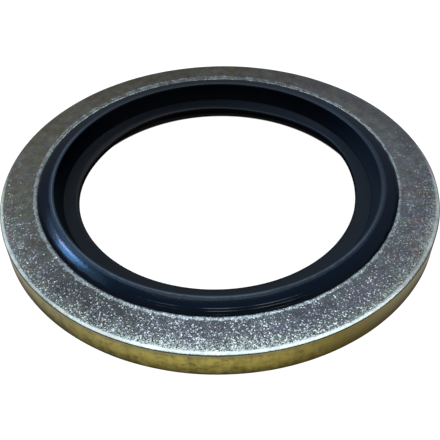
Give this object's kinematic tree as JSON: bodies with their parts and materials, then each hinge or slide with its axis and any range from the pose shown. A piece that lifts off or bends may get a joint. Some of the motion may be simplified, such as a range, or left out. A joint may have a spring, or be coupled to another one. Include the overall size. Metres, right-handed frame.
{
  "type": "bonded sealing washer",
  "caption": "Self-centring bonded sealing washer: a flat plated steel ring with a rubber lip seal moulded into its bore and a thin centring web round the hole.",
  "frame": {"origin": "centre of the bore, half way through the metal ring", "axes": "+Z along the bore's axis; both faces are alike, so either side may be up; +X and +Y lie in the washer's middle plane"},
  "size_m": [0.0286, 0.0286, 0.0028],
  "materials": {
    "plated_steel": "zinc plate with a thin yellow passivate, fine blasted pits on the faces, satin on the rim",
    "seal_rubber": "moulded black nitrile rubber, semi-gloss on the lips, with faint turned lines from the mould"
  },
  "bodies": {
    "root": {"metal_ring": "plated_steel", "rubber_seal": "seal_rubber"}
  },
  "joints": []
}
